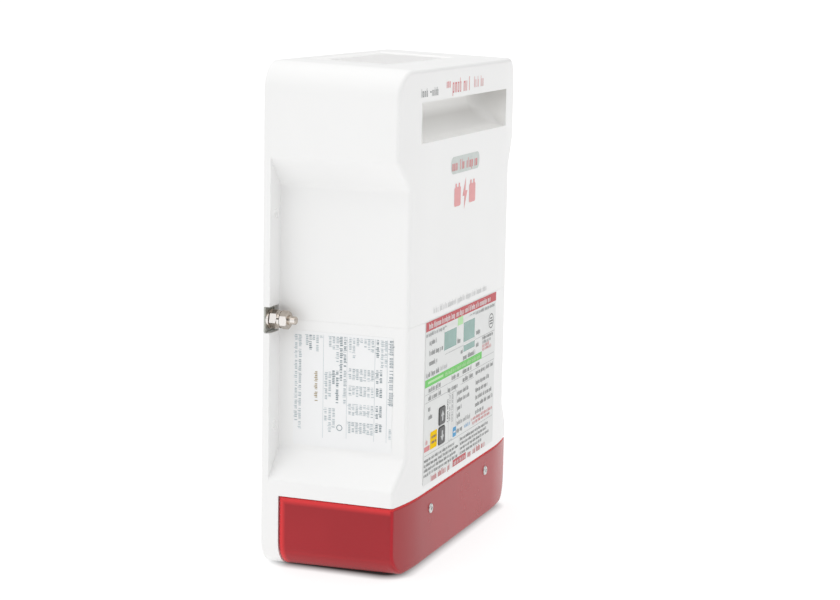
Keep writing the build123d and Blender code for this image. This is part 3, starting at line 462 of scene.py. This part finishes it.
class Print:
    """Flat ink shapes laid on a face; place(u, v, up) gives a point in millimetres."""

    first_coat, second_coat = 0.05, 0.09

    def __init__(self, name, place, body, slot_name, flip=False):
        self.name, self.place, self.body, self.slot_name = name, place, body, slot_name
        self.flip = flip
        self.points, self.faces, self.inks = [], [], []
        self.up = self.first_coat

    def poly(self, ink, corners):
        if self.flip:
            corners = corners[::-1]
        first = len(self.points)
        self.points += [tuple(c * MM for c in self.place(u, v, self.up)) for u, v in corners]
        self.faces.append(tuple(range(first, first + len(corners))))
        self.inks.append(ink_order.index(ink))

    def rect(self, ink, u0, v0, u1, v1):
        self.poly(ink, [(u0, v0), (u1, v0), (u1, v1), (u0, v1)])

    def round_rect(self, ink, u0, v0, u1, v1, radius, steps=6):
        corners = []
        low_u, low_v, high_u, high_v = u0 + radius, v0 + radius, u1 - radius, v1 - radius
        spots = ((high_u, low_v, -90), (high_u, high_v, 0), (low_u, high_v, 90), (low_u, low_v, 180))
        for mid_u, mid_v, start in spots:
            for n in range(steps + 1):
                angle = math.radians(start + 90 * n / steps)
                corners.append((mid_u + radius * math.cos(angle), mid_v + radius * math.sin(angle)))
        self.poly(ink, corners)

    def ring(self, ink, mid_u, mid_v, inner, outer, steps=36):
        for n in range(steps):
            angles = [math.radians(360 * k / steps) for k in (n, n + 1)]
            spots = ((inner, 0), (outer, 0), (outer, 1), (inner, 1))
            self.poly(
                ink,
                [(mid_u + r * math.cos(angles[k]), mid_v + r * math.sin(angles[k])) for r, k in spots],
            )

    def line(self, ink, u0, v0, u1, v1, width):
        du, dv = u1 - u0, v1 - v0
        length = math.hypot(du, dv)
        nu, nv = -dv / length * width / 2, du / length * width / 2
        self.poly(ink, [(u0 - nu, v0 - nv), (u1 - nu, v1 - nv), (u1 + nu, v1 + nv), (u0 + nu, v0 + nv)])

    def greek(self, ink, u0, u1, v, height, seed, weight=1.0):
        """A line of stand-in print: strokes of uneven height grouped like words, no letters."""
        rng = random.Random(seed)
        short = height * 0.72
        tail = height * 0.22
        low = v - height / 2
        u = u0
        while u < u1 - 0.3 * height:
            for _ in range(rng.randint(3, 8)):
                wide = height * rng.uniform(0.26, 0.5)
                if u + wide > u1:
                    break
                reach = rng.random()
                top = low + (height if reach > 0.72 else short)
                foot = low - (tail if reach < 0.12 else 0)
                stroke = wide * 0.34 * weight
                right = u + wide * 0.8
                self.rect(ink, u, foot, u + stroke, top)
                if rng.random() < 0.75:
                    self.rect(ink, u + stroke, low + short - stroke, right, low + short)
                    self.rect(ink, right - stroke, low, right, low + short - stroke)
                if rng.random() < 0.4:
                    self.rect(ink, u + stroke, low, u + wide * 0.6, low + stroke)
                u += wide + 0.10 * height
            u += height * 0.38

    def bars(self, ink, u0, u1, v, height, seed):
        """Plain word-length bars."""
        rng = random.Random(seed)
        u = u0
        while u < u1 - 0.2:
            wide = min(height * rng.uniform(1.2, 4.0), u1 - u)
            self.rect(ink, u, v - height / 2, u + wide, v + height / 2)
            u += wide + height * 0.6

    def make(self):
        piece = new_piece(self.name, self.points, self.faces, [looks["ink_" + ink] for ink in ink_order])
        piece.data.polygons.foreach_set("material_index", self.inks)
        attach(piece, self.body)
        return piece


def on_film(u, v, up):
    return u, label_face - up, v


def down_film(u, v, up):
    """As on_film, but for print that reads downwards."""
    return v, label_face - up, -u


def on_shell(u, v, up):
    return u, crown_depth(u) - up, v


def on_side(u, v, up):
    return side_x - up, u, v


def down_side(u, v, up):
    """As on_side, but for print that reads downwards."""
    return side_x - up, v, -u


# ---------------------------------------------------------------- front label
small_print_top = 70.0
table_stretch, small_stretch = 1.35, 1.2

film = Print("label_print", on_film, "case", "front_film")
film.rect("red", -67.2, 147.2, 67.2, 153.05)
film.up = Print.second_coat
film.greek("white", -62, 56, 150.1, 3.7, 1, 1.3)
film.up = Print.first_coat
film.greek("grey", -66.5, -28, 145.1, 2.5, 2, 1.3)
film.greek("grey", 14, 65.5, 145.1, 2.5, 3, 1.3)
film.rect("light_green", -9, 142, 1, 147.2)
# lines of print: ink, start, end, middle height, size
for n, (colour, u0, u1, v, height) in enumerate(
    [
        ("dark", -60.5, -46.5, 139.7, 2.4),
        ("dark", -60.5, -34.5, 133.1, 2.4),
        ("dark", -60.5, -46.0, 126.9, 2.4),
        ("dark", -66.0, -42.0, 120.0, 2.4),
        ("pale", -40.0, -27.0, 120.2, 2.2),
        ("dark", -9.0, -1.4, 132.2, 2.5),
        ("dark", 27.8, 37.0, 131.9, 2.5),
        ("dark", -2.2, 2.4, 124.2, 2.2),
        ("dark", 28.0, 35.5, 123.6, 2.4),
        ("dark", 40.5, 62.5, 126.0, 1.7),
        ("grey", 40.5, 58.5, 123.2, 1.7),
        ("soft_red", 41.0, 56.0, 120.8, 1.9),
        ("soft_red", 41.0, 60.0, 118.4, 1.7),
        ("dark", 2.6, 26.5, 119.5, 2.4),
        ("dark", -60.5, -37.5, 110.2, 2.4),
        ("dark", -18.5, -3.0, 110.2, 2.4),
        ("dark", 2.6, 20.0, 110.4, 2.4),
        ("dark", 28.5, 36.5, 110.4, 2.4),
        ("dark", -60.5, -37.0, 105.0, 2.4),
        ("dark", 2.8, 24.5, 105.0, 2.4),
        ("dark", 28.5, 64.0, 105.0, 2.1),
        ("dark", -25.5, -7.0, 103.5, 2.4),
        ("dark", -60.5, -55.8, 98.3, 2.4),
        ("dark", -60.5, -52.0, 93.0, 2.4),
        ("dark", -7.0, 15.5, 98.2, 2.2),
        ("dark", -7.0, 18.0, 93.2, 2.2),
        ("dark", -7.0, 2.5, 88.2, 2.2),
        ("dark", -7.0, 0.0, 83.3, 2.2),
        ("grey", -7.0, 20.0, 78.4, 2.2),
        ("dark", -7.0, 5.5, 73.5, 2.2),
        ("light_blue", 8.0, 20.5, 73.5, 2.0),
        ("dark", 29.0, 56.5, 98.2, 2.2),
        ("dark", 29.0, 54.0, 93.2, 2.2),
        ("dark", 29.0, 62.5, 88.3, 2.2),
        ("dark", 29.0, 65.0, 83.4, 2.2),
        ("dark", 29.5, 46.5, 78.5, 2.2),
        ("soft_red", 21.5, 65.0, 75.0, 1.7),
        ("soft_red", 24.0, 60.0, 72.3, 1.7),
        ("dark", -66.5, -10.5, 66.4, 1.8),
        ("dark", -66.5, -3.5, 63.3, 1.8),
        ("dark", -66.5, -7.0, 60.2, 1.8),
        ("dark", -66.5, -4.0, 57.1, 1.8),
        ("dark", 0.5, 56.5, 66.4, 1.8),
        ("dark", 0.5, 54.0, 63.3, 1.8),
        ("dark", 0.5, 59.0, 60.2, 1.8),
        ("dark", 0.5, 45.0, 57.1, 1.8),
    ]
):
    stretch = table_stretch if v > small_print_top else small_stretch
    film.greek(colour, u0, u1, v, height * stretch, 10 + n, 1.25)
film.line("grey", -32, 127.6, 65.5, 127.4, 0.25)
film.rect("green", -67.2, 112.4, 40.0, 117.2)
film.up = Print.second_coat
film.rect("light_green", -62, 114.1, -34.5, 115.6)
film.greek("light_green", -31.0, 36.0, 114.8, 2.6, 90, 1.3)
# printed borders that frame the upper edge of each window
for u0, u1, v0, v1 in ((-34.2, -10.6, 141.8, 144.9), (2.3, 24.9, 142.2, 144.9), (2.9, 25.5, 127.2, 128.5)):
    film.rect("film", u0, v0, u1, v1)
film.up = Print.first_coat
# ruled lines of the table, across and then upright
for u0, u1, v in (
    (40, 65.5, 112.5),
    (-67, 65.5, 107.7),
    (-67, -27, 102.6),
    (-1, 25, 102.6),
    (-67, 65.5, 69.3),
):
    film.line("grey", u0, v, u1, v, 0.22)
film.line("grey", -1.2, 56, -1.2, 68.3, 0.2)
for u, v0, v1 in ((-17.6, 70, 100.4), (-14.0, 77, 100.4), (-9.0, 77, 100.4), (-22.8, 70, 87)):
    film.line("grey", u, v0, u, v1, 0.22)
for u0, u1, v in ((-24.5, -18.5, 100.4), (-17.6, -9.0, 100.4), (-22.8, -14.8, 70)):
    film.line("grey", u0, v, u1, v, 0.22)
# stickers and signs, all without any lettering
film.round_rect("yellow", -56.2, 71.6, -43.8, 82.6, 1.2)
film.up = Print.second_coat
film.bars("brown", -53.8, -45.4, 79.0, 1.5, 201)
film.bars("brown", -53.8, -45.4, 75.6, 1.5, 202)
film.up = Print.first_coat
film.greek("soft_red", -64.8, -60.4, 77.9, 3.2, 203, 0.9)
film.rect("soft_red", -66.6, 71.9, -57.0, 75.1)
film.round_rect("blue", -14.4, 70.6, -8.0, 76.9, 0.7)
film.up = Print.second_coat
film.rect("white", -13.0, 73.2, -9.2, 74.2)
film.up = Print.first_coat
film.ring("dark", 58.0, 134.8, 4.3, 5.0)
for rise, half in ((2.0, 2.2), (0.2, 3.4), (-1.6, 2.8)):
    film.rect("dark", 58 - half, 134.6 + rise - 0.45, 58 + half, 134.6 + rise + 0.45)
# the line at the foot of the label, with a red plate in its middle
for u0, u1, seed in ((-53.5, -42.5, 210), (-40.5, -24.0, 211), (-22.5, -17.0, 212)):
    film.greek("red", u0, u1, 53.0, 4.2, seed, 1.2)
film.rect("red", -13.0, 50.9, 12.2, 55.3)
film.up = Print.second_coat
film.greek("white", -11.2, 10.8, 53.0, 2.8, 213, 0.8)
film.up = Print.first_coat
for u0, u1, seed in ((16.0, 24.0, 214), (26.0, 41.5, 215), (43.5, 51.5, 216)):
    film.greek("red", u0, u1, 53.0, 4.2, seed, 1.2)
film.make()

# captions that read downwards, inside the battery column of the label
column = Print("label_column_print", down_film, "case", "front_film")
for colour, u0, u1, v in (
    ("dark", -97.5, -82.2, -24.6),
    ("grey", -99.5, -82.2, -20.6),
    ("grey", -99.5, -80.6, -15.8),
):
    column.greek(colour, u0, u1, v, 2.2, 300 + int(-v), 1.3)
column.make()

# ---------------------------------------------------------------- print on the shell
shell = Print("shell_print", on_shell, "case", "white_shell")
shell.greek("faint", -53.5, 48.5, 158.8, 4.0, 400, 1.0)
for u0, u1, seed in ((-81.0, -68.5, 401), (-64.0, -52.5, 402)):
    shell.greek("grey", u0, u1, 293.0, 5.0, seed, 0.9)
shell.rect("grey", -67.6, 292.6, -65.0, 293.6)
shell.greek("rose", -38.5, -29.0, 296.6, 5.4, 405, 1.05)
shell.greek("soft_red", -27.5, 10.5, 294.8, 8.8, 403, 0.8)
shell.greek("faint_red", 13.0, 34.0, 295.2, 6.8, 404, 1.1)
shell.round_rect("badge", -27.2, 239.7, 26.8, 250.5, 4.4)
shell.make()

sign = Print("sign_print", on_shell, "case", "white_shell")
sign.up = Print.second_coat
for u0, u1, seed in ((-25.0, -0.5, 410), (2.0, 23.0, 411)):
    sign.greek("soft_red", u0, u1, 244.9, 6.4, seed, 1.1)
# two plain battery blocks with a bolt between them
for middle in (-14, 14):
    sign.round_rect("rose", middle - 6.0, 219.0, middle + 6.0, 231.0, 1.4)
    sign.rect("rose", middle - 4.2, 231.0, middle - 1.6, 233.4)
    sign.rect("rose", middle + 1.6, 231.0, middle + 4.2, 233.4)
sign.poly("rose", [(-1.0, 224.4), (-4.6, 224.4), (1.2, 236.0)])
sign.poly("rose", [(-1.0, 224.4), (1.2, 236.0), (1.0, 227.4)])
sign.poly("rose", [(-1.0, 224.4), (1.0, 227.4), (4.6, 227.4), (-1.2, 215.6)])
sign.make()

# ---------------------------------------------------------------- tongue behind the seam
waist_half, tongue_back, corner_bend = 92.5, 41.4, 2.5
tongue_inset, tongue_half, seam_middle = 0.16, 0.6, 153.5
bend_steps, crown_steps = 8, 12

bend_x = waist_half - corner_bend
bend_y = crown_depth(bend_x) + corner_bend
bend_r = corner_bend - tongue_inset
outline = [(waist_half - tongue_inset, tongue_back)]
for n in range(bend_steps + 1):
    angle = math.radians(90.0 * n / bend_steps)
    outline.append((bend_x + bend_r * math.cos(angle), bend_y - bend_r * math.sin(angle)))
for n in range(crown_steps):
    u = bend_x * (1 - n / crown_steps)
    outline.append((u, crown_depth(u) + tongue_inset))
outline += [(-u, depth) for u, depth in reversed(outline[:-1])]
count = len(outline)
tongue = new_piece(
    "seam_tongue",
    [(u * MM, v * MM, (seam_middle + rise) * MM) for rise in (-tongue_half, tongue_half) for u, v in outline],
    [(n, n + 1, n + 1 + count, n + count) for n in range(count - 1)],
    [looks["white_shell"]],
)
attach(tongue, "case")

# ---------------------------------------------------------------- soft lining of the air scoop
back_wall, wall_front, roof, scoop_half = -19.56, -43.9, 287.3, 79.45
front_lip = (-44.0, 263.0)
lining_lift = 0.06
corner_radius, lip_radius = 11.0, 0.15
cove_steps, arc_steps, corner_steps, taper_from = 10, 12, 8, 9


def circle_through(a, b, c):
    """Centre and radius of the circle through three points."""
    spread = 2 * (a[0] * (b[1] - c[1]) + b[0] * (c[1] - a[1]) + c[0] * (a[1] - b[1]))
    squares = [u * u + v * v for u, v in (a, b, c)]
    mid_u = (squares[0] * (b[1] - c[1]) + squares[1] * (c[1] - a[1]) + squares[2] * (a[1] - b[1])) / spread
    mid_v = (squares[0] * (c[0] - b[0]) + squares[1] * (a[0] - c[0]) + squares[2] * (b[0] - a[0])) / spread
    return mid_u, mid_v, math.hypot(a[0] - mid_u, a[1] - mid_v)


# the lining's profile: down the back wall, round a cove, and along the curved floor to the lip
arc_y, arc_z, arc_radius = circle_through((-19.5, 276.0), (-30.0, 266.4), front_lip)
arc_radius -= lining_lift
arc_start, arc_end = [math.atan2(z - arc_z, y - arc_y) for y, z in ((-25.5, 269.6), front_lip)]


def arc_point(angle):
    return arc_y + arc_radius * math.cos(angle), arc_z + arc_radius * math.sin(angle)


cove = ((back_wall, 282.5), (back_wall, 275.2), arc_point(arc_start))
curve = [(back_wall, roof)]
for n in range(cove_steps + 1):
    k = n / cove_steps
    weights = ((1 - k) ** 2, 2 * k * (1 - k), k * k)
    curve.append(tuple(sum(w * p[i] for w, p in zip(weights, cove)) for i in (0, 1)))
for n in range(1, arc_steps + 1):
    curve.append(arc_point(arc_start + (arc_end - arc_start) * n / arc_steps))

# across the scoop, the profile runs between two rounded corners that close up towards the lip
grid = []
for n, (y, z) in enumerate(curve):
    along = max(0.0, (n - taper_from) / (len(curve) - 1 - taper_from))
    radius = lip_radius + corner_radius * (1 - along * along * (3 - 2 * along))
    before, after = curve[max(0, n - 1)], curve[min(len(curve) - 1, n + 1)]
    run_y, run_z = after[0] - before[0], after[1] - before[1]
    length = math.hypot(run_y, run_z)
    row = []
    for way in (-1, 1):
        for k in range(corner_steps + 1)[::-way]:
            angle = math.radians(90.0 * k / corner_steps)
            out = radius * (1 - math.sin(angle))
            x = way * (scoop_half - radius + radius * math.cos(angle))
            row.append((x, y + run_z / length * out, z - run_y / length * out))
    grid.append(row)
columns = len(grid[0])
points = [tuple(c * MM for c in p) for row in grid for p in row]
faces = [
    (r * columns + c, r * columns + c + 1, (r + 1) * columns + c + 1, (r + 1) * columns + c)
    for r in range(len(grid) - 1)
    for c in range(columns - 1)
]
# each side wall is a fan from the front upper corner of the opening
for way, c in ((-1, 0), (1, columns - 1)):
    points.append((way * scoop_half * MM, wall_front * MM, roof * MM))
    for r in range(len(grid) - 1):
        step = (r * columns + c, (r + 1) * columns + c)
        faces.append((len(points) - 1, *step[::-way]))
# the lining carries the scoop's painted shade
lining = new_piece("scoop_lining", points, faces, [looks["scoop_white_painted_shade"]])
lining.data.polygons.foreach_set("use_smooth", [True] * len(lining.data.polygons))
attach(lining, "case")

# ---------------------------------------------------------------- trim and insect screen of the grille
grille_slope, grille_sink, top_at_middle = 0.03501, 1.2, 308.540


def grille_point(x, y, sink):
    """A point over the grille, sunk below the sloping top of the case, in metres."""
    return (x * MM, y * MM, (top_at_middle + y * grille_slope - sink) * MM)


def grille_piece(name, points, faces):
    piece = new_piece(name, points, faces, [looks["white_grille"]])
    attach(piece, "case")


# a bevelled trim runs round the sunk panel, from the case's top down to the panel;
# its foot and its head are given by their reach from the corner's centre and by their depth
trim_foot, trim_head = (0.1, grille_sink - 0.04), (3.04, 0.06)
turn_steps = 6
points = []
corners = ((58, 36.5, 0), (-58, 36.5, 90), (-58, -11.5, 180), (58, -11.5, 270))
for corner_x, corner_y, first_turn in corners:
    for k in range(turn_steps + 1):
        angle = math.radians(first_turn + 90 / turn_steps * k)
        for reach, sink in (trim_foot, trim_head):
            x, y = corner_x + reach * math.cos(angle), corner_y + reach * math.sin(angle)
            points.append(grille_point(x, y, sink))
total = len(points)
grille_piece(
    "grille_trim",
    points,
    [(n, n + 1, (n + 3) % total, (n + 2) % total) for n in range(0, total, 2)],
)
# flat wires of the screen lie just under the slots: single ones across, and upright ones in threes
screen_sink, wire_width = grille_sink + 0.45, 0.6
wires = [(-55.0, 55.0, -9.0 + 1.1 * n, -9.0 + 1.1 * n + wire_width) for n in range(40)]
for n in range(14):
    for offset in (-1.2, 0, 1.2):
        x = -52 + 8 * n + offset
        wires.append((x - wire_width / 2, x + wire_width / 2, -9.3, 34.3))
points, faces = [], []
for x0, x1, y0, y1 in wires:
    first = len(points)
    points += [grille_point(x, y, screen_sink) for x, y in ((x0, y0), (x1, y0), (x1, y1), (x0, y1))]
    faces.append((first, first + 1, first + 2, first + 3))
grille_piece("grille_screen", points, faces)

# ---------------------------------------------------------------- side label
side = Print("side_print", on_side, "case", "label_film", flip=True)
for y, z0, z1 in ((-29.4, 82.5, 145.5), (-21.4, 82.5, 145.5), (-3.3, 82.5, 145.5), (12.2, 81.5, 145.5)):
    side.line("pale_slate", y, z0, y, z1, 0.22)
side.ring("slate", 1.2, 88.8, 1.5, 1.95, steps=24)
side.make()

lines = Print("side_column_print", down_side, "case", "label_film")


def column_line(colour, z0, z1, y, height, seed, weight=1.1):
    """A line of stand-in print reading downwards, from height z1 to z0, at depth y."""
    lines.greek(colour, -z1, -z0, y, height, seed, weight)


# heading and the short lines under it
column_line("slate", 102.5, 145.3, -31.6, 3.2, 500, 0.8)
column_line("pale_slate", 84.5, 91.0, -31.4, 2.0, 501)
column_line("pale_slate", 128.0, 145.0, -28.2, 2.0, 502)
column_line("pale_slate", 128.0, 145.0, -25.8, 2.0, 503)
# column heads of the table, then its rows
for y, cells in (
    (-25.2, ((118.2, 126.8), (109.2, 115.6), (97.2, 104.6), (87.2, 93.4))),
    (-22.8, ((134.0, 145.2), (118.0, 126.6), (109.4, 115.4), (96.4, 104.6), (88.0, 93.8))),
):
    for n, (z0, z1) in enumerate(cells):
        column_line("slate", z0, z1, y, 2.1, 510 + n + int(-y), 1.35)
table_rows = (
    (-19.6, 8.0), (-17.2, 7.0), (-14.8, 6.5), (-12.3, 3.2), (-9.8, 6.0), (-7.4, 13.5), (-5.0, 10.5)
)
for n, (y, length) in enumerate(table_rows):
    column_line("pale_slate", 145.2 - length, 145.2, y, 2.1, 530 + n, 1.3)
    for m, (z0, z1) in enumerate(((118.6, 126.2), (108.6, 115.6), (96.8, 104.4), (86.0, 93.2))):
        column_line("pale_slate", z0, z1, y, 2.15, 540 + 5 * n + m, 1.35)
# notes below the table: ink, depth, lower and upper end
for n, (colour, y, z0, z1) in enumerate(
    [
        ("slate", -1.6, 126.0, 145.2),
        ("pale_slate", -1.6, 103.5, 124.5),
        ("slate", 0.9, 118.0, 145.2),
        ("pale_slate", 3.3, 129.0, 145.0),
        ("slate", 3.3, 103.5, 124.0),
        ("pale_slate", 5.8, 136.5, 145.0),
        ("slate", 5.8, 115.5, 124.0),
        ("pale_slate", 8.2, 137.5, 145.0),
        ("pale_slate", 8.2, 106.5, 123.0),
        ("pale_slate", 10.6, 105.5, 122.5),
        ("pale_slate", 5.4, 87.5, 100.5),
        ("pale_slate", 8.0, 85.5, 100.5),
        ("pale_slate", 10.8, 90.5, 100.5),
        ("pale_slate", 14.2, 142.0, 144.8),
        ("pale_slate", 16.6, 134.5, 144.8),
        ("pale_slate", 19.0, 140.5, 144.8),
        ("slate", 21.2, 134.5, 144.8),
        ("pale_slate", 23.4, 138.0, 144.8),
        ("ochre", 17.2, 103.5, 122.5),
        ("pale_slate", 28.0, 85.0, 144.4),
        ("pale_slate", 30.6, 90.0, 144.4),
    ]
):
    column_line(colour, z0, z1, y, 2.2, 600 + n, 1.3)
lines.make()

# ---------------------------------------------------------------- key arrows
head_half, head_length, stem_half, stem_length = 3.2, 3.6, 1.2, 3.2
for node, body, way in (("key_up", "upper_key", 1), ("key_down", "lower_key", -1)):
    (x0, face, z0), (x1, _, z1) = in_mm(node)
    mid_x, mid_z = (x0 + x1) / 2, (z0 + z1) / 2
    left, right, foot = mid_x - stem_half, mid_x + stem_half, mid_z - way * stem_length
    head = [(mid_x - head_half, mid_z), (mid_x + head_half, mid_z), (mid_x, mid_z + way * head_length)]
    stem = [(left, mid_z), (left, foot), (right, foot), (right, mid_z)]
    arrow = Print(node + "_arrow", lambda u, v, up: (u, face - up, v), body, "grey_key")
    for shape in (head, stem):
        arrow.poly("pale", shape[::way])
    arrow.make()
